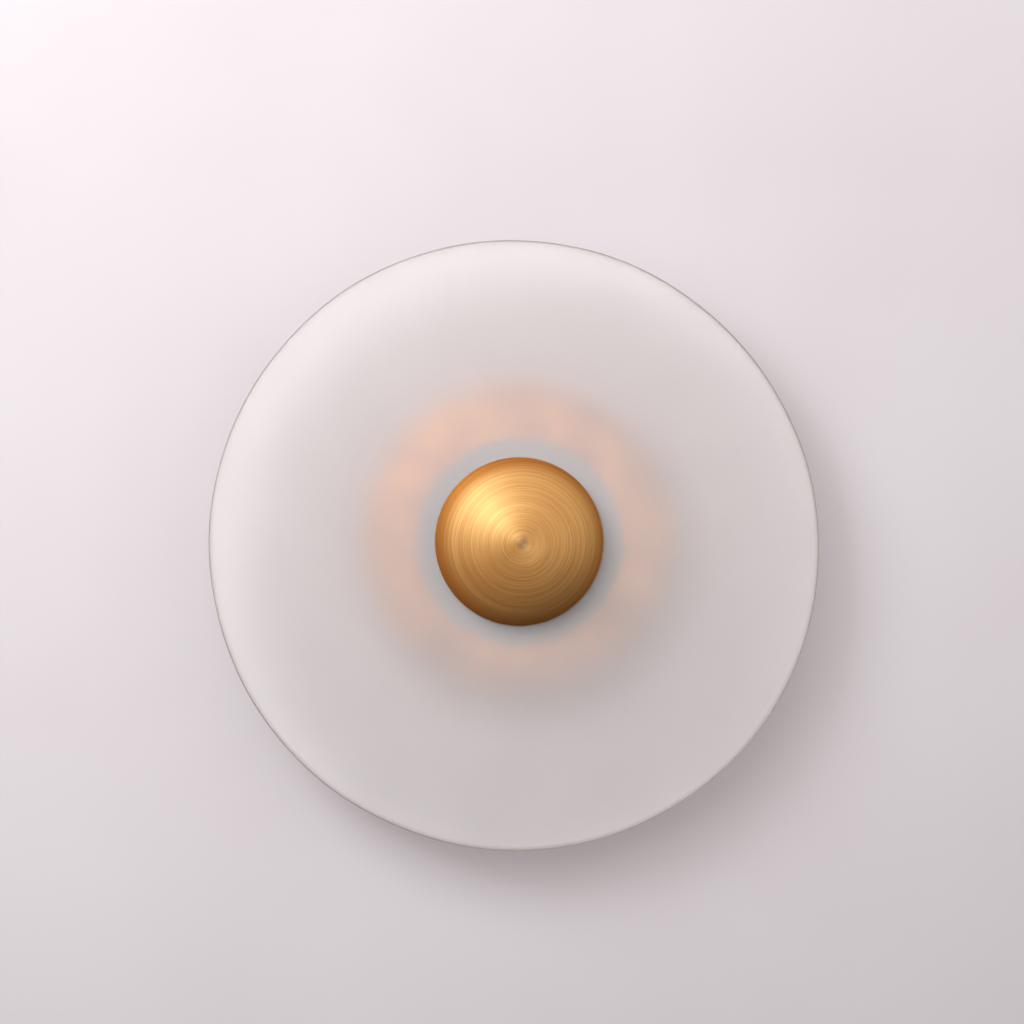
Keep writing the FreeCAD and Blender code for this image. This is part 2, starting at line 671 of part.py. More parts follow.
def ear_screws(places):
    """Screws through ears and the canopy's floor into the heat spreader. Their heads face the wall."""
    screws = [screw(M3_RADIUS, at(x, EAR_BACK, z), at(x, SPREADER_FRONT, z), -OUTWARD) for x, z in places]
    return Part.makeCompound(screws)


def led_driver():
    """A slim closed case with a fixing ear at each end."""
    case = block(DRIVER_X, DRIVER_LENGTH, DRIVER_BACK, FLOOR_BACK, DRIVER_Z, DRIVER_WIDTH)
    case = soft_edges(case, DRIVER_CORNER, lambda edge: is_upright(edge) or is_at_depth(edge, DRIVER_BACK))
    places = driver_ear_places()
    case = case.fuse([ear(place, (DRIVER_X, DRIVER_Z), DRIVER_EAR_RADIUS) for place in places])
    holes = rods(M3_RADIUS + SCREW_CLEARANCE, EAR_BACK, FLOOR_BACK, places)
    return case.cut(holes).removeSplitter()


def is_upright(edge):
    """Whether an edge runs straight away from the wall."""
    box = edge.BoundBox
    return box.XLength < 1e-3 and box.ZLength < 1e-3


def is_at_depth(edge, depth):
    box = edge.BoundBox
    return abs(box.YMin + depth) < 1e-3 and abs(box.YMax + depth) < 1e-3


def driver_screws():
    return ear_screws(driver_ear_places())


def pole_places():
    """The height of each pole, the lowest first."""
    first = TERMINAL_Z - (TERMINAL_LENGTH - POLE_PITCH) / 2
    return [first + POLE_PITCH * step for step in range(POLE_COUNT)]


def terminal_screw_places():
    return [(side * POLE_SCREW_SPACING / 2, z) for z in pole_places() for side in (-1, 1)]


def terminal_block():
    """A strip of poles: one base, a hump over each pole, a wire hole through it and two screw wells."""
    places = terminal_ear_places()
    base = block(0, POLE_LENGTH, FLOOR_BACK - POLE_BASE_HEIGHT, FLOOR_BACK, TERMINAL_Z, TERMINAL_LENGTH)
    additions = [ear(place, (0, TERMINAL_Z), TERMINAL_EAR_RADIUS) for place in places]
    cuts = rods(M3_RADIUS + SCREW_CLEARANCE, EAR_BACK, FLOOR_BACK, places)
    for z in pole_places():
        additions.append(block(0, POLE_LENGTH, TERMINAL_BACK, FLOOR_BACK, z, POLE_HUMP_WIDTH))
        start = at(-POLE_LENGTH / 2, LEAD_DEPTH, z)
        cuts.append(Part.makeCylinder(WIRE_HOLE_RADIUS, POLE_LENGTH, start, SIDEWAYS))
    cuts += rods(TERMINAL_SCREW_RADIUS + RUNNING, TERMINAL_BACK, LEAD_DEPTH, terminal_screw_places())
    return base.fuse(additions).cut(cuts).removeSplitter()


def terminal_screws():
    """Grub screws in the wells, each down on its wire."""
    screws = []
    for x, z in terminal_screw_places():
        back = TERMINAL_BACK + TERMINAL_SCREW_SUNK
        body = rod(TERMINAL_SCREW_RADIUS, back, LEAD_DEPTH - LEAD_RADIUS, x, z)
        slot_width = DRIVE_SLOT_RATIO * TERMINAL_SCREW_RADIUS
        slot = block(x, 2 * TERMINAL_SCREW_RADIUS, back, back + slot_width, z, slot_width)
        screws.append(body.cut(slot))
    return Part.makeCompound(screws)


def terminal_fixing_screws():
    return ear_screws(terminal_ear_places())


def mains_leads():
    """Two leads from the driver's left end to the two lower poles, the outer round the inner."""
    start_x = DRIVER_X - DRIVER_LENGTH / 2
    end_x = LEAD_INSERTED - POLE_LENGTH / 2
    leads = []
    for step, pole in enumerate(reversed(pole_places()[:2])):
        z = DRIVER_Z + (step - 0.5) * MAINS_LEAD_SPACING
        turn_x = start_x - MAINS_LEAD_REACH - step * LEAD_STEP
        corners = ((start_x, z), (turn_x, z), (turn_x, pole), (end_x, pole))
        leads.append(lead([at(x, LEAD_DEPTH, height) for x, height in corners]))
    return Part.makeCompound(leads)


def earth_lead():
    """From the top pole to the ring terminal on the strap."""
    pole = pole_places()[-1]
    end_x = LEAD_INSERTED - POLE_LENGTH / 2
    return lead(
        [
            at(end_x, LEAD_DEPTH, pole),
            at(EARTH_SCREW_X, LEAD_DEPTH, pole),
            at(EARTH_SCREW_X, CRIMP_DEPTH, pole + EARTH_LEAD_RISE),
            at(EARTH_SCREW_X, CRIMP_DEPTH, -RING_TERMINAL_RADIUS),
        ]
    )


def led_leads():
    """Two leads from the driver's right end through the grommet to the LED board."""
    start_x = DRIVER_X + DRIVER_LENGTH / 2
    leads = []
    for x, z in led_lead_places():
        leads.append(lead([at(start_x, LEAD_DEPTH, z), at(x, LEAD_DEPTH, z), at(x, BOARD_FRONT, z)]))
    return Part.makeCompound(leads)


def ring_terminal():
    """A ring under the earth screw, with the crimped sleeve that holds the earth lead."""
    front = STRAP_THICKNESS + RING_TERMINAL_THICKNESS
    half_length = RING_TERMINAL_RADIUS / 2
    eye = rod(RING_TERMINAL_RADIUS, STRAP_THICKNESS, front, EARTH_SCREW_X, 0)
    neck_z = half_length - RING_TERMINAL_RADIUS - NECK_OVERLAP
    neck = block(EARTH_SCREW_X, 2 * CRIMP_RADIUS, STRAP_THICKNESS, front, neck_z, 2 * half_length)
    start = at(EARTH_SCREW_X, CRIMP_DEPTH, -RING_TERMINAL_RADIUS)
    sleeve = Part.makeCylinder(CRIMP_RADIUS, CRIMP_LENGTH, start, -UPWARD)
    bore = Part.makeCylinder(LEAD_RADIUS + RUNNING, CRIMP_LENGTH, start, -UPWARD)
    screw_hole = rod(M4_RADIUS + RUNNING, STRAP_THICKNESS, CRIMP_DEPTH + CRIMP_RADIUS, EARTH_SCREW_X, 0)
    return eye.fuse([neck, sleeve]).cut([bore, screw_hole]).removeSplitter()


PARTS = {
    "mounting_bracket": mounting_bracket,
    "cable_grommet": cable_grommet,
    "earth_screw": earth_screw,
    "canopy": canopy,
    "canopy_screws": canopy_screws,
    "lead_grommet": lead_grommet,
    "heat_spreader": heat_spreader,
    "led_board": led_board,
    "led_chips": led_chips,
    "board_screws": board_screws,
    "diffuser_ring": diffuser_ring,
    "hub_sleeve": hub_sleeve,
    "centre_stud": centre_stud,
    "rear_nut": rear_nut,
    "lock_washer": lock_washer,
    "rear_gasket": rear_gasket,
    "glass_disc": glass_disc,
    "glass_bush": glass_bush,
    "slip_washer": slip_washer,
    "cap_dome": cap_dome,
    "cap_boss": cap_boss,
    "led_driver": led_driver,
    "driver_screws": driver_screws,
    "terminal_block": terminal_block,
    "terminal_screws": terminal_screws,
    "terminal_fixing_screws": terminal_fixing_screws,
    "mains_leads": mains_leads,
    "earth_lead": earth_lead,
    "ring_terminal": ring_terminal,
    "led_leads": led_leads,
}

os.makedirs("parts", exist_ok=True)
for name, make in PARTS.items():
    shape = make()
    print(name, len(shape.Solids), round(shape.Volume, 1), shape.isValid())
    shape.exportStep(f"parts/{name}.step")
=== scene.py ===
"""A round wall light: a frosted, hand-made glass disc, clamped by a brushed brass dome before a
brass canopy.

Metres, in the frame of the solids: the wall is the plane y = 0, the light faces -Y and +Z is up.
A depth is a distance from the wall, so a point at depth d lies at y = -d. At the light a pixel of
the main view is half a millimetre wide, so a pattern that is finer on the real one is drawn about
that coarse.
"""
import json
import math

import bpy
import numpy as np
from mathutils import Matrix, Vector


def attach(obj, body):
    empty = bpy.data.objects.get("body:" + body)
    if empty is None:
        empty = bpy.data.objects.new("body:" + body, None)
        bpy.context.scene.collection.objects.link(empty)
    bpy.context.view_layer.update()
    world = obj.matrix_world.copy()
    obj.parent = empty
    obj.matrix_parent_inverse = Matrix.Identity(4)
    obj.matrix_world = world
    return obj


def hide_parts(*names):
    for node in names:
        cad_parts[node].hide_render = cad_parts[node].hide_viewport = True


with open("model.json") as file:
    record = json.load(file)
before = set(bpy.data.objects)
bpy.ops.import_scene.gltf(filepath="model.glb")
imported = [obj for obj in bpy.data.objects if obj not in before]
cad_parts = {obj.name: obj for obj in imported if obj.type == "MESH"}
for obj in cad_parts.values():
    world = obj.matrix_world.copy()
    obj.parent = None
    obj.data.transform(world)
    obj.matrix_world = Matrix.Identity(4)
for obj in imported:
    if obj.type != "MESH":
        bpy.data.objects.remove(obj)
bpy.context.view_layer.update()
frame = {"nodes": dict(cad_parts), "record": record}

MM = 0.001
FULL_TURN = 2 * math.pi

# The glass disc, as its solid has it
GLASS_RADIUS = 150.0 * MM
GLASS_BACK = 25.0 * MM
GLASS_FRONT = 33.0 * MM
GLASS_EDGE_ROUND = 3.2 * MM
GLASS_HOLE_RADIUS = 7.0 * MM
GLASS_OFF = np.array([-2.5, -2.2]) * MM  # the outline's middle from the hole's, across and up
GLASS_OVAL = 0.62 * MM  # how far the oval stands out of its circle
GLASS_OVAL_TURN = -48.0  # degrees from +X to the oval's long side
RIM_WAVES = ((3, 0.16, -28.0), (7, 0.12, 18.0), (13, 0.08, 13.0))  # crests, height in mm, degrees

# What hand work leaves in its faces: a seed, then the length of each wave in mm
FRONT_WAVES = (5, (118, 83, 61, 47, 36))
BACK_WAVES = (8, (104, 71, 52))
WAVE_HEIGHT = 0.07 * MM
FRONT_DIP = 0.2 * MM  # keeps the crests of the front inside the solid
CALM_TO_WAVY = (20 * MM, 55 * MM)  # from the hub: flat where it is clamped, then waves
SWELL_TO_RIM = (110 * MM, 150 * MM)  # from the hub: where the waves grow again
RIM_SWELL = 0.8  # by what share they grow

# Its mesh
GLASS_COLUMNS = 720
GLASS_FACE_ROWS = 46
GLASS_EDGE_ROWS = 9
GLASS_CROWDING = 1.15  # above 1 the rows lie closer towards the rim

# The dome cap, as its solid has it
DOME_RADIUS = 41.25 * MM
DOME_BACK = 33.3 * MM
DOME_TOP = 55.3 * MM
DOME_SHEET = 1.2 * MM
DOME_EDGE_ROUND = 0.35 * MM
DOME_EDGE_INSET = 0.02 * MM  # keeps the edge inside the solid
SWIRL_OFF = (1.4 * MM, -0.65 * MM)  # the middle of the brush rings, from the middle of the dome

# Its mesh
DOME_COLUMNS = 512
DOME_OUTER_ROWS = 90
DOME_EDGE_ROWS = 5
DOME_INNER_ROWS = 40
DOME_EDGE_TILT = 0.010  # radians between the last row of the outer arc and the edge

# The wall, a flat ring
WALL_GAP = 0.2 * MM  # behind the canopy's back edge, so that the two planes don't coincide
WALL_RINGS = (78.4 * MM, 0.3, 1.0, 1.6)  # its hole behind the canopy, for views from behind, first
WALL_COLUMNS = 256

# The glass: faint clouds in it, and an etch that is drawn coarser than it is
GLASS_CLOUD = 30 * MM
GLASS_ETCH = 1.6 * MM
RIM_SHADE_COLOUR = "a08d86"  # painted shade where the glass is seen nearly edge on, standing in for the refraction that darkens its rounded rim: it draws the thin line round the rim
RIM_SHADE_FACING = (0.2, 0.8)  # from face on, 0, to edge on, 1: where that painted shade begins and is full
SHADE_COLOUR = "d9d6d6"  # what passes each face on the way to the wall and back

# The dome's brass: brush lines, broader rings, a browner, darker edge that is partly tarnish and
# partly painted shade, and a duller, greyer brown in its middle
BRUSH_LINE = 0.45 * MM
BRUSH_RING = 3.0 * MM
CREST_COLOUR = "f2d596"
GROOVE_COLOUR = "cb771b"
GROOVE_SHARE = 0.4  # how much of the surface is groove
CREST_ROUGH = (0.57, 0.63)
CREST_STRETCH = 0.5  # how far a highlight is drawn out across the rings
QUARTER = 0.25  # of a turn, from along the rings to across them
EDGE_TARNISH_AND_SHADE = (33.0 * MM, 41.5 * MM)  # from the brush rings' middle: where the browner, darker edge, partly tarnish and partly painted shade, begins and is full
MIDDLE_DULL = (0.5 * MM, 4.5 * MM)  # the same: where the dull spot begins to fade and has gone
MIDDLE_DULL_SHARE = 0.6

# The canopy's brass: rings left by the spinning tool, and clouds of tarnish
TOOL_RING = 1.6 * MM
TARNISH_CLOUD = 25 * MM
CANOPY_ROUGH = (0.58, 0.68)

# The wall's paint: clouds left by the roller, and its nap
ROLLER_CLOUD = 120 * MM
ROLLER_NAP = 2 * MM

NOISE_RANGE = {"From Min": 0.3, "From Max": 0.7}  # where most of a noise's values lie

LENS_MM = 85.0
SENSOR_MM = 36.0
VIEW_END = 50.0
CAMERA_PLACE = (-3.5 * MM, -1.218, 14.4 * MM)
HUB = np.array([0.0, -30.0, 0.0]) * MM  # what the lights are turned to
BACKDROP_GLOW = 0.9  # past the wall's edge, as bright as the wall
ROOM_GLOW = 0.04  # the faint light that reaches the piece from all round


def linear(code, alpha=1.0):
    """An sRGB hex colour as linear light. Each channel c of 0 to 1 becomes c / 12.92 up to
    0.04045, and ((c + 0.055) / 1.055) to the power 2.4 above it."""
    channels = [int(code[i : i + 2], 16) / 255 for i in (0, 2, 4)]
    return (*[c / 12.92 if c <= 0.04045 else ((c + 0.055) / 1.055) ** 2.4 for c in channels], alpha)


def node(tree, kind, inputs=None, **settings):
    """Adds a node with its own settings. inputs gives each socket, by name or number, its value,
    or an output to link to it, or a node whose first output in use is linked."""
    made = tree.nodes.new("ShaderNode" + kind)
    for name, value in settings.items():
        setattr(made, name, value)
    for socket, value in (inputs or {}).items():
        if isinstance(value, bpy.types.Node):
            value = next(output for output in value.outputs if output.enabled)
        if isinstance(value, bpy.types.NodeSocket):
            tree.links.new(value, made.inputs[socket])
        else:
            made.inputs[socket].default_value = value
    return made


def new_material(name):
    """An empty material, with the output node to link a shader to."""
    made = bpy.data.materials.new(name)
    made.use_nodes = True
    made.node_tree.nodes.clear()
    return made, made.node_tree, node(made.node_tree, "OutputMaterial")


# ---------------------------------------------------------------- meshes


def new_piece(name, vertices, faces, smooth):
    """A mesh of points and faces, as an object at the origin."""
    mesh = bpy.data.meshes.new(name)
    mesh.from_pydata(vertices.tolist(), [], faces)
    mesh.polygons.foreach_set("use_smooth", np.full(len(faces), smooth))
    mesh.update()
    made = bpy.data.objects.new(name, mesh)
    bpy.context.scene.collection.objects.link(made)
    return made


def enclosed_volume(vertices, faces):
    """The volume inside the faces, below 0 where they face inwards: the sum of a . (b x c) / 6
    over a fan of triangles in each face."""
    volume = 0.0
    for corner in range(1, faces.shape[1] - 1):
        a, b, c = (vertices[faces[:, place]] for place in (0, corner, corner + 1))
        volume += float(np.einsum("ij,ij->i", a, np.cross(b, c)).sum()) / 6
    return volume


def ring_mesh(name, grid, poles=()):
    """A closed skin over a grid of rows by columns of points, facing outwards. Each row is a
    closed ring of columns. Without poles the last row meets the first again, and with two poles
    the first row closes in a fan at the first pole and the last row at the second."""
    rows, columns = grid.shape[:2]
    index = np.arange(rows * columns).reshape(rows, columns)
    after = np.roll(index, -1, axis=1)
    vertices = grid.reshape(-1, 3)
    if len(poles):
        quads = np.stack([index[:-1], after[:-1], after[1:], index[1:]], axis=-1).reshape(-1, 4)
        first, last = rows * columns, rows * columns + 1
        start = np.stack([np.full(columns, first), after[0], index[0]], axis=-1)
        end = np.stack([np.full(columns, last), index[-1], after[-1]], axis=-1)
        vertices = np.vstack([vertices, poles])
        groups = (quads, start, end)
    else:
        below, below_after = np.roll(index, -1, axis=0), np.roll(after, -1, axis=0)
        groups = (np.stack([index, after, below_after, below], axis=-1).reshape(-1, 4),)
    step = 1 if sum(enclosed_volume(vertices, group) for group in groups) > 0 else -1
    faces = [face for group in groups for face in group[:, ::step].tolist()]
    return new_piece(name, vertices, faces, smooth=True)


def soft_waves(x, z, seed, lengths, height):
    """A sum of long plane waves, each height * cos(2 pi (x cos a + z sin a) / length + phase),
    divided by the root of their number. Lengths are in mm, and directions and phases come from
    the seed."""
    random = np.random.default_rng(seed)
    total = np.zeros_like(x)
    for length in lengths:
        direction, phase = random.uniform(0, FULL_TURN, 2)
        way = x * math.cos(direction) + z * math.sin(direction)
        total += np.cos(FULL_TURN * way / (length * MM) + phase)
    return height * total / math.sqrt(len(lengths))


def ease(low, high, value):
    """0 up to low, 1 from high, and between them 3t^2 - 2t^3 of the share t of the way."""
    t = np.clip((value - low) / (high - low), 0, 1)
    return t * t * (3 - 2 * t)


def disc_profile():
    """The disc's section as rows of inset from the rim and depth, once round: from the hole out
    along the front, a quarter round to the rim, and the same mirrored back along the rear. At
    bend t the quarter round has inset r (1 - sin t) and depth front - r (1 - cos t)."""
    span = GLASS_RADIUS - GLASS_HOLE_RADIUS
    across = np.linspace(1, 0, GLASS_FACE_ROWS, endpoint=False) ** GLASS_CROWDING
    face_inset = GLASS_EDGE_ROUND + across * (span - GLASS_EDGE_ROUND)
    face_depth = np.full_like(face_inset, GLASS_FRONT)
    bend = np.linspace(0, math.pi / 2, GLASS_EDGE_ROWS)
    edge_inset = GLASS_EDGE_ROUND * (1 - np.sin(bend))
    edge_depth = GLASS_FRONT - GLASS_EDGE_ROUND * (1 - np.cos(bend))
    inset = np.concatenate([face_inset, edge_inset])
    depth = np.concatenate([face_depth, edge_depth])
    rear_depth = GLASS_FRONT + GLASS_BACK - depth
    return np.concatenate([inset, inset[::-1]]), np.concatenate([depth, rear_depth[::-1]])


def glass_outline(angle):
    """The disc's radius at an angle: a circle, plus cos of twice the angle to make it oval, plus
    the rim's waves."""
    radius = GLASS_RADIUS + GLASS_OVAL * np.cos(2 * (angle - math.radians(GLASS_OVAL_TURN)))
    for crests, height, place in RIM_WAVES:
        radius += height * MM * np.cos(crests * (angle - math.radians(place)))
    return radius


def make_glass():
    """Rows follow the section, columns the angle. At each angle a point lies on the straight line
    from the hole's edge to the rim. The faces swell and dip by soft waves, which fade to nothing
    near the hub, and between the faces the one's waves turn evenly into the other's."""
    angle = np.linspace(0, FULL_TURN, GLASS_COLUMNS, endpoint=False)
    inset, depth = (np.repeat(values[:, None], len(angle), axis=1) for values in disc_profile())
    along = np.stack([np.cos(angle), np.sin(angle)], axis=-1)
    rim = GLASS_OFF + glass_outline(angle)[:, None] * along
    hole = GLASS_HOLE_RADIUS * along
    share = (1 - inset / (GLASS_RADIUS - GLASS_HOLE_RADIUS))[..., None]
    flat = hole * (1 - share) + rim * share
    x, z = flat[..., 0], flat[..., 1]
    from_hub = np.hypot(x, z)
    strength = ease(*CALM_TO_WAVY, from_hub) * (1 + RIM_SWELL * ease(*SWELL_TO_RIM, from_hub))
    front = soft_waves(x, z, *FRONT_WAVES, WAVE_HEIGHT) - FRONT_DIP
    back = soft_waves(x, z, *BACK_WAVES, WAVE_HEIGHT)
    to_front = (depth - GLASS_BACK) / (GLASS_FRONT - GLASS_BACK)
    depth = depth + strength * (to_front * front + (1 - to_front) * back)
    return ring_mesh("frosted_disc", np.stack([x, -depth, z], axis=-1))


def make_dome():
    """A turned profile: an arc of the outer sphere from the middle to the rim, a quarter round,
    then an arc of the inner sphere back to the middle. A cap of radius r and rise h is cut from a
    sphere of radius R = (r^2 + h^2) / 2h, and at tilt t from its axis the sphere has radius
    R sin t and depth centre + R cos t."""
    rise = DOME_TOP - DOME_BACK
    outer = (DOME_RADIUS**2 + rise**2) / (2 * rise)
    inner = outer - DOME_SHEET
    centre = DOME_TOP - outer
    outer_tilt = math.asin(DOME_RADIUS / outer)
    inner_tilt = math.acos((DOME_BACK - centre) / inner)
    out = np.linspace(outer_tilt / DOME_OUTER_ROWS, outer_tilt - DOME_EDGE_TILT, DOME_OUTER_ROWS)
    bend = np.linspace(0, math.pi / 2, DOME_EDGE_ROWS)
    back = np.linspace(inner_tilt, inner_tilt / DOME_INNER_ROWS, DOME_INNER_ROWS)
    edge_radius = DOME_RADIUS - DOME_EDGE_ROUND * (1 - np.cos(bend)) - DOME_EDGE_INSET
    edge_depth = DOME_BACK + DOME_EDGE_ROUND * (1 - np.sin(bend))
    outer_depth = centre + outer * np.cos(out)
    inner_depth = centre + inner * np.cos(back)
    radius = np.concatenate([outer * np.sin(out), edge_radius, inner * np.sin(back)])
    depth = np.concatenate([outer_depth, edge_depth, inner_depth])
    turn = np.linspace(0, FULL_TURN, DOME_COLUMNS, endpoint=False)
    x = radius[:, None] * np.cos(turn)
    z = radius[:, None] * np.sin(turn)
    y = np.repeat(-depth[:, None], len(turn), axis=1)
    poles = [(0, -DOME_TOP, 0), (0, -(DOME_TOP - DOME_SHEET), 0)]
    return ring_mesh("brushed_dome", np.stack([x, y, z], axis=-1), poles)


def add_brush_map(piece, centre):
    """A UV map whose U is the angle round the centre of the brush rings, in turns, and whose V is
    the distance from it in metres. In each face U is unwrapped from its first corner, so no face
    spans the cut."""
    mesh = piece.data
    place = np.empty(len(mesh.vertices) * 3)
    mesh.vertices.foreach_get("co", place)
    place = place.reshape(-1, 3)
    corner = np.empty(len(mesh.loops), dtype=np.int64)
    mesh.loops.foreach_get("vertex_index", corner)
    start = np.empty(len(mesh.polygons), dtype=np.int64)
    count = np.empty(len(mesh.polygons), dtype=np.int64)
    mesh.polygons.foreach_get("loop_start", start)
    mesh.polygons.foreach_get("loop_total", count)
    x = place[corner, 0] - centre[0]
    z = place[corner, 2] - centre[1]
    turns = np.arctan2(z, x) / FULL_TURN
    first = np.repeat(turns[start], count)
    turns = turns - np.round(turns - first)
    layer = mesh.uv_layers.new(name="brush")
    layer.data.foreach_set("uv", np.stack([turns, np.hypot(x, z)], axis=-1).ravel())


def make_wall():
    """A flat ring, open at its hole and at its edge, facing -Y: each row is a circle of points at
    radius * (cos t, sin t) across and up."""
    turn = np.linspace(0, FULL_TURN, WALL_COLUMNS, endpoint=False)
    radius = np.array(WALL_RINGS)
    x = radius[:, None] * np.cos(turn)
    z = radius[:, None] * np.sin(turn)
    grid = np.stack([x, np.full_like(x, WALL_GAP), z], axis=-1)
    index = np.arange(x.size).reshape(x.shape)
    after = np.roll(index, -1, axis=1)
    quads = np.stack([index[:-1], index[1:], after[1:], after[:-1]], axis=-1).reshape(-1, 4)
    return new_piece("wall", grid.reshape(-1, 3), quads.tolist(), smooth=False)


# ---------------------------------------------------------------- materials


def frosted_glass():
    """Hand-made glass, etched on both faces: it lets light through but scatters it, so what lies
    behind is sharp only where it nearly touches. Where it is seen nearly edge on, its colour is
    painted darker, a painted shade for the refraction in its rounded rim, which draws a thin darker
    line there. Shadow rays and scattered rays pass it a little dimmed, so that it lights the wall
    behind it as real frosted glass does."""
    made, tree, out = new_material("etched_handmade_glass")
    where = node(tree, "TexCoord").outputs["Object"]
    cloud = node(tree, "TexNoise", {"Vector": where, "Scale": 1 / GLASS_CLOUD, "Detail": 3.0})
    etch = node(tree, "TexNoise", {"Vector": where, "Scale": 1 / GLASS_ETCH, "Detail": 2.0})
    cloudy = node(
        tree,
        "Mix",
        {
            "Factor": node(tree, "MapRange", {"Value": cloud, **NOISE_RANGE}),
            "A": linear("f9f7f7"),
            "B": linear("fcfafa"),
        },
        data_type="RGBA",
    )
    # painted shade: the glass is darkened where it is seen nearly edge on, standing in for the
    # refraction in its rim
    facing = node(tree, "LayerWeight", {"Blend": 0.5}).outputs["Facing"]
    edge_on_shade = node(
        tree,
        "MapRange",
        {"Value": facing, "From Min": RIM_SHADE_FACING[0], "From Max": RIM_SHADE_FACING[1]},
        interpolation_type="SMOOTHSTEP",
    )
    tint = node(
        tree, "Mix", {"Factor": edge_on_shade, "A": cloudy, "B": linear(RIM_SHADE_COLOUR)}, data_type="RGBA"
    )
    pits = node(tree, "Bump", {"Height": etch, "Distance": 0.06 * MM, "Strength": 0.5})
    swell = node(
        tree, "Bump", {"Height": cloud, "Distance": 0.12 * MM, "Strength": 0.5, "Normal": pits}
    )
    glass = node(
        tree,
        "BsdfPrincipled",
        {
            "Base Color": tint,
            "Roughness": 0.8,
            "IOR": 1.5,
            "Transmission Weight": 0.8,
            "Specular IOR Level": 0.3,
            "Normal": swell,
        },
    )
    clear = node(tree, "BsdfTransparent", {"Color": linear(SHADE_COLOUR)})
    ray = node(tree, "LightPath").outputs
    soft = node(tree, "MixShader", {"Fac": ray["Is Diffuse Ray"], 1: glass, 2: clear})
    mix = node(tree, "MixShader", {"Fac": ray["Is Shadow Ray"], 1: soft, 2: clear})
    tree.links.new(mix.outputs[0], out.inputs["Surface"])
    return made


def ring_place(tree, centre, ring, around):
    """A place for a noise on a turned or brushed piece: the distance from the axis over the width
    of a ring, plus the direction from the axis times around. It has no cut, and varies little
    round a ring. The distance in metres comes with it."""
    where = node(tree, "TexCoord").outputs["Object"]
    middle = (centre[0], 0.0, centre[1])
    off = node(tree, "VectorMath", {0: where, 1: middle}, operation="SUBTRACT")
    flat = node(tree, "VectorMath", {0: off, 1: (1, 0, 1)}, operation="MULTIPLY")
    distance = node(tree, "VectorMath", {0: flat}, operation="LENGTH").outputs["Value"]
    unit = node(tree, "VectorMath", {0: flat}, operation="NORMALIZE")
    small = node(tree, "VectorMath", {0: unit, "Scale": around}, operation="SCALE")
    far = node(tree, "Math", {0: distance, 1: 1 / ring}, operation="MULTIPLY")
    row = node(tree, "CombineXYZ", {"Y": far})
    return node(tree, "VectorMath", {0: small, 1: row}, operation="ADD"), distance


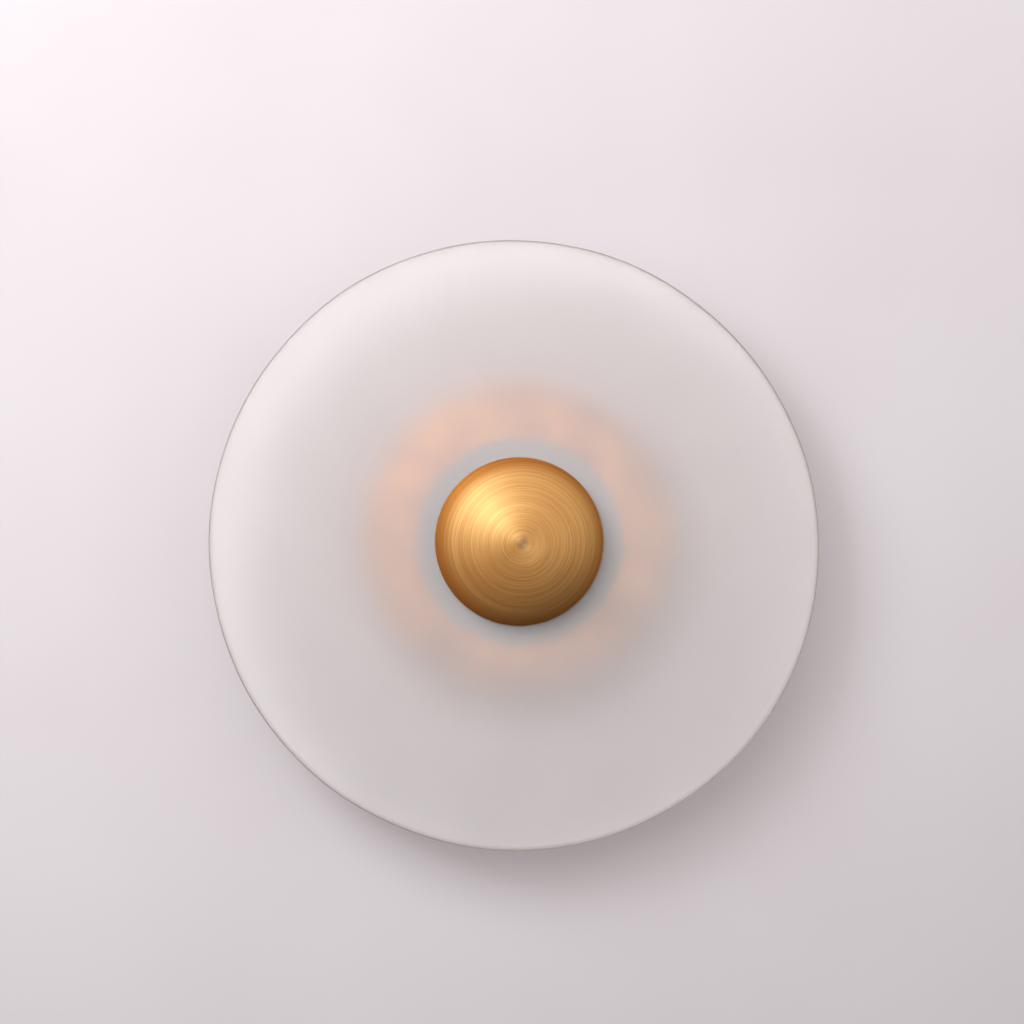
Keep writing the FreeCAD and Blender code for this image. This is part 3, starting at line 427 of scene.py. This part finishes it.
def brushed_brass():
    """Brass, brushed in fine rings and lightly aged. The crests of the brushing are bright and
    stretch each highlight into a fan across the rings. The grooves between them are a deeper,
    browner colour and dull. Towards its edge the colour is browner and darker, partly tarnish and
    partly painted shade for its dark rim, and its middle is painted a duller, greyer brown. The
    lines follow the middle of the spinning, not of the cap. Real ones are about 0.1 mm wide, and
    are drawn coarser so that they show."""
    made, tree, out = new_material("brushed_brass_cap")
    place, distance = ring_place(tree, SWIRL_OFF, BRUSH_LINE, 0.4)
    fine = node(
        tree, "TexNoise", {"Vector": place, "Scale": 1.0, "Detail": 3.0, "Roughness": 0.75}
    )
    wide_place, _ = ring_place(tree, SWIRL_OFF, BRUSH_RING, 0.3)
    wide = node(tree, "TexNoise", {"Vector": wide_place, "Scale": 1.0, "Detail": 2.0})
    fine_share = node(tree, "MapRange", {"Value": fine, **NOISE_RANGE})
    wide_share = node(tree, "MapRange", {"Value": wide, **NOISE_RANGE})
    to_edge_tarnish_and_shade = node(
        tree,
        "MapRange",
        {"Value": distance, "From Min": EDGE_TARNISH_AND_SHADE[0], "From Max": EDGE_TARNISH_AND_SHADE[1]},
        interpolation_type="SMOOTHSTEP",
    )
    dull = node(
        tree,
        "MapRange",
        {
            "Value": distance,
            "From Min": MIDDLE_DULL[0],
            "From Max": MIDDLE_DULL[1],
            "To Min": MIDDLE_DULL_SHARE,
            "To Max": 0.0,
        },
        interpolation_type="SMOOTHSTEP",
    )
    # uneven wear in broad rings, the tone of each line, and the browner, darker edge, which is
    # partly tarnish and partly painted shade for the dark rim, multiplied
    wear_and_edge_shade = linear("ffffff")
    for share, low, high in (
        (wide_share, "faf7f4", "ffffff"),
        (fine_share, "d8c8b4", "ffffff"),
        # painted shade and tarnish: browner and darker towards the dome's edge
        (to_edge_tarnish_and_shade, "ffffff", "d4b88c"),
    ):
        layer = node(
            tree, "Mix", {"Factor": share, "A": linear(low), "B": linear(high)}, data_type="RGBA"
        )
        wear_and_edge_shade = node(
            tree,
            "Mix",
            {"Factor": 1.0, "A": wear_and_edge_shade, "B": layer},
            data_type="RGBA",
            blend_type="MULTIPLY",
        )
    shades = []
    for code in (CREST_COLOUR, GROOVE_COLOUR):
        worn_and_edge_shaded = node(
            tree,
            "Mix",
            {"Factor": 1.0, "A": linear(code), "B": wear_and_edge_shade},
            data_type="RGBA",
            blend_type="MULTIPLY",
        )
        # a duller, greyer brown painted over the middle of the brush rings
        shades.append(
            node(tree, "Mix", {"Factor": dull, "A": worn_and_edge_shaded, "B": linear("93795f")}, data_type="RGBA")
        )
    lines = node(tree, "Bump", {"Height": fine, "Distance": 0.03 * MM, "Strength": 0.12})
    crests = node(
        tree,
        "BsdfPrincipled",
        {
            "Base Color": shades[0],
            "Metallic": 1.0,
            "Roughness": node(
                tree,
                "MapRange",
                {
                    "Value": fine,
                    **NOISE_RANGE,
                    "To Min": CREST_ROUGH[0],
                    "To Max": CREST_ROUGH[1],
                },
            ),
            "Anisotropic": CREST_STRETCH,
            "Anisotropic Rotation": QUARTER,
            "Tangent": node(tree, "Tangent", direction_type="UV_MAP", uv_map="brush"),
            "Normal": lines,
        },
    )
    grooves = node(
        tree,
        "BsdfPrincipled",
        {"Base Color": shades[1], "Roughness": 0.85, "Specular IOR Level": 0.2, "Normal": lines},
    )
    brass = node(tree, "MixShader", {"Fac": GROOVE_SHARE, 1: crests, 2: grooves})
    tree.links.new(brass.outputs[0], out.inputs["Surface"])
    return made


def spun_brass():
    """Spun brass, satin and aged: soft rings left by the spinning tool, and a warm, cloudy
    tarnish."""
    made, tree, out = new_material("spun_brass_canopy")
    place, _ = ring_place(tree, (0.0, 0.0), TOOL_RING, 0.6)
    rings = node(tree, "TexNoise", {"Vector": place, "Scale": 1.0, "Detail": 3.0})
    where = node(tree, "TexCoord").outputs["Object"]
    cloud = node(tree, "TexNoise", {"Vector": where, "Scale": 1 / TARNISH_CLOUD, "Detail": 3.0})
    tint = node(
        tree,
        "Mix",
        {
            "Factor": node(tree, "MapRange", {"Value": cloud, **NOISE_RANGE}),
            "A": linear("985a20"),
            "B": linear("c28842"),
        },
        data_type="RGBA",
    )
    rough = node(
        tree,
        "MapRange",
        {"Value": rings, **NOISE_RANGE, "To Min": CANOPY_ROUGH[0], "To Max": CANOPY_ROUGH[1]},
    )
    lines = node(tree, "Bump", {"Height": rings, "Distance": 0.05 * MM, "Strength": 0.4})
    brass = node(
        tree,
        "BsdfPrincipled",
        {"Base Color": tint, "Metallic": 1.0, "Roughness": rough, "Normal": lines},
    )
    tree.links.new(brass.outputs[0], out.inputs["Surface"])
    return made


# Each finish: its two colours, the grain of its pattern in mm, roughness from and to, the height
# of its grain in mm, and 1 for metal or 0
FINISHES = {
    # machined brass: small turned marks, a warm even gloss
    "turned_brass": ("c99d5a", "dbb272", 0.5, 0.25, 0.38, 0.01, 1.0),
    # brass screws: the same, a little duller
    "brass_screw": ("b98f4f", "cfa668", 0.4, 0.28, 0.42, 0.01, 1.0),
    # opal acrylic: milky and even, with a soft satin gloss; its grey is painted shade, far darker
    # than white opal, for the recess close behind the glass that little light reaches
    "opal_plastic": ("807f83", "88878b", 3.0, 0.36, 0.46, 0.004, 0.0),
    # bright zinc plating: pale grey with a faint crystal grain
    "zinc_steel": ("a9adb1", "c3c6c9", 1.2, 0.28, 0.42, 0.01, 1.0),
    # plated screws: the same on a smaller scale
    "steel_screw": ("9ca0a4", "b9bcbf", 0.4, 0.28, 0.4, 0.008, 1.0),
    # rolled aluminium sheet: pale, satin
    "aluminium_sheet": ("c4c6c8", "d6d8da", 1.0, 0.35, 0.48, 0.008, 1.0),
    # turned aluminium: fine marks
    "turned_aluminium": ("bcbec1", "d0d2d4", 0.5, 0.3, 0.42, 0.01, 1.0),
    # tinned copper: soft silvery sheen
    "tinned_copper": ("b5b3ae", "cbc9c4", 0.6, 0.25, 0.4, 0.01, 1.0),
    # moulded rubber: near black and matt
    "black_rubber": ("17171a", "222226", 0.5, 0.7, 0.85, 0.02, 0.0),
    # silicone: cloudy white, soft gloss
    "clear_silicone": ("c9c8c5", "dad9d6", 1.5, 0.4, 0.5, 0.01, 0.0),
    # natural nylon: warm off-white, waxy
    "white_nylon": ("dedad0", "e9e6de", 1.2, 0.4, 0.52, 0.01, 0.0),
    # moulded plastic: white with a fine spark-eroded grain
    "white_plastic": ("dcdcda", "e8e8e6", 0.5, 0.5, 0.62, 0.02, 0.0),
    # white solder resist: even and slightly glossy
    "white_board": ("e2e2e0", "ececea", 1.0, 0.3, 0.4, 0.004, 0.0),
    # phosphor over the chips: dull yellow gel
    "led_phosphor": ("d8c258", "e4d070", 0.4, 0.4, 0.55, 0.01, 0.0),
    # wire insulation: smooth and slightly waxy
    "grey_insulation": ("84878b", "92959a", 0.8, 0.38, 0.5, 0.006, 0.0),
    "green_insulation": ("4c8a35", "5a9a42", 0.8, 0.38, 0.5, 0.006, 0.0),
    "red_insulation": ("97302b", "a83a34", 0.8, 0.38, 0.5, 0.006, 0.0),
}


def plain_finish(name, low, high, grain, smooth, rough, height, metal):
    """A finish whose colour, roughness and height follow one noise of its grain."""
    made, tree, out = new_material(name)
    where = node(tree, "TexCoord").outputs["Object"]
    noise = node(tree, "TexNoise", {"Vector": where, "Scale": 1 / (grain * MM), "Detail": 3.0})
    tint = node(
        tree,
        "Mix",
        {
            "Factor": node(tree, "MapRange", {"Value": noise, **NOISE_RANGE}),
            "A": linear(low),
            "B": linear(high),
        },
        data_type="RGBA",
    )
    gloss = node(
        tree, "MapRange", {"Value": noise, **NOISE_RANGE, "To Min": smooth, "To Max": rough}
    )
    raised = node(tree, "Bump", {"Height": noise, "Distance": height * MM, "Strength": 0.5})
    shader = node(
        tree,
        "BsdfPrincipled",
        {"Base Color": tint, "Metallic": metal, "Roughness": gloss, "Normal": raised},
    )
    tree.links.new(shader.outputs[0], out.inputs["Surface"])
    return made


def wall_paint():
    """Matt emulsion: pale, with the faintest cloud from the roller. Its back is clear, so that a
    view from behind shows the light's back."""
    made, tree, out = new_material("matt_wall_paint")
    where = node(tree, "TexCoord").outputs["Object"]
    cloud = node(tree, "TexNoise", {"Vector": where, "Scale": 1 / ROLLER_CLOUD, "Detail": 2.0})
    nap = node(tree, "TexNoise", {"Vector": where, "Scale": 1 / ROLLER_NAP, "Detail": 2.0})
    tint = node(
        tree,
        "Mix",
        {
            "Factor": node(tree, "MapRange", {"Value": cloud, **NOISE_RANGE}),
            "A": linear("cdc7ca"),
            "B": linear("d0cbce"),
        },
        data_type="RGBA",
    )
    raised = node(tree, "Bump", {"Height": nap, "Distance": 0.04 * MM, "Strength": 0.3})
    paint = node(
        tree,
        "BsdfPrincipled",
        {"Base Color": tint, "Roughness": 0.9, "Specular IOR Level": 0.2, "Normal": raised},
    )
    clear = node(tree, "BsdfTransparent")
    side = node(tree, "NewGeometry").outputs["Backfacing"]
    mix = node(tree, "MixShader", {"Fac": side, 1: paint, 2: clear})
    tree.links.new(mix.outputs[0], out.inputs["Surface"])
    return made


def dress(piece, made):
    """Gives a piece one material."""
    piece.data.materials.clear()
    piece.data.materials.append(made)


# ---------------------------------------------------------------- pieces

glass = make_glass()
dress(glass, frosted_glass())
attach(glass, "light")
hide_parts("glass_disc")

dome = make_dome()
add_brush_map(dome, SWIRL_OFF)
dress(dome, brushed_brass())
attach(dome, "cap")
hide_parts("cap_dome")

finishes = {name: plain_finish(name, *values) for name, values in FINISHES.items()}
finishes["aged_brass"] = spun_brass()
for part in frame["record"]["subparts"]:
    if part["material_slot"] in finishes:
        dress(frame["nodes"][part["node"]], finishes[part["material_slot"]])

wall = make_wall()
dress(wall, wall_paint())

# ---------------------------------------------------------------- camera and light

camera_data = bpy.data.cameras.new("camera")
camera_data.lens = LENS_MM
camera_data.sensor_width = SENSOR_MM
camera_data.clip_end = VIEW_END
camera = bpy.data.objects.new("camera", camera_data)
bpy.context.scene.collection.objects.link(camera)
camera.location = CAMERA_PLACE
camera.rotation_euler = (math.pi / 2, 0.0, 0.0)
bpy.context.scene.camera = camera


def softbox(name, tilt, turn, distance, size, watts, colour):
    """A square of soft light that faces the hub. It is tilted from straight ahead towards an angle
    from +X, both in degrees, so its direction is (sin tilt cos turn, -cos tilt, sin tilt sin
    turn). Rays that have passed the glass don't meet it, because its light already reaches what
    lies behind the glass by shadow rays."""
    tilt, turn = math.radians(tilt), math.radians(turn)
    way = (math.sin(tilt) * math.cos(turn), -math.cos(tilt), math.sin(tilt) * math.sin(turn))
    place = HUB + np.array(way) * distance
    data = bpy.data.lights.new(name, "AREA")
    data.shape = "SQUARE"
    data.size = size
    data.energy = watts
    data.color = linear(colour)[:3]
    made = bpy.data.objects.new(name, data)
    bpy.context.scene.collection.objects.link(made)
    made.visible_transmission = False
    made.location = place
    made.rotation_euler = (Vector(HUB) - Vector(place)).to_track_quat("-Z", "Y").to_euler()


# Each softbox: tilt and turn in degrees, distance and size in metres, watts, colour
LIGHTS = {
    "key": (53.0, 136.0, 1.5, 0.7, 17.5, "fffdfe"),
    "fill": (58.0, 62.0, 1.5, 1.2, 4.0, "fffdfb"),
    "left": (44.0, 168.0, 1.8, 1.2, 7.8, "fffdfe"),
    "front": (33.0, 114.0, 1.6, 1.2, 13.3, "fffdfc"),
    "side": (53.0, 12.0, 1.6, 1.4, 7.8, "fff8f2"),
}
for name, values in LIGHTS.items():
    softbox(name, *values)

world = bpy.data.worlds.new("studio")
bpy.context.scene.world = world
world.use_nodes = True
sky = world.node_tree
sky.nodes.clear()
seen = node(sky, "Background", {"Color": linear("e6e2e2"), "Strength": BACKDROP_GLOW})
felt = node(sky, "Background", {"Color": linear("e6e4e8"), "Strength": ROOM_GLOW})
from_camera = node(sky, "LightPath").outputs["Is Camera Ray"]
both = node(sky, "MixShader", {"Fac": from_camera, 1: felt, 2: seen})
node(sky, "OutputWorld", {"Surface": both})

bpy.context.scene.view_settings.view_transform = "Standard"
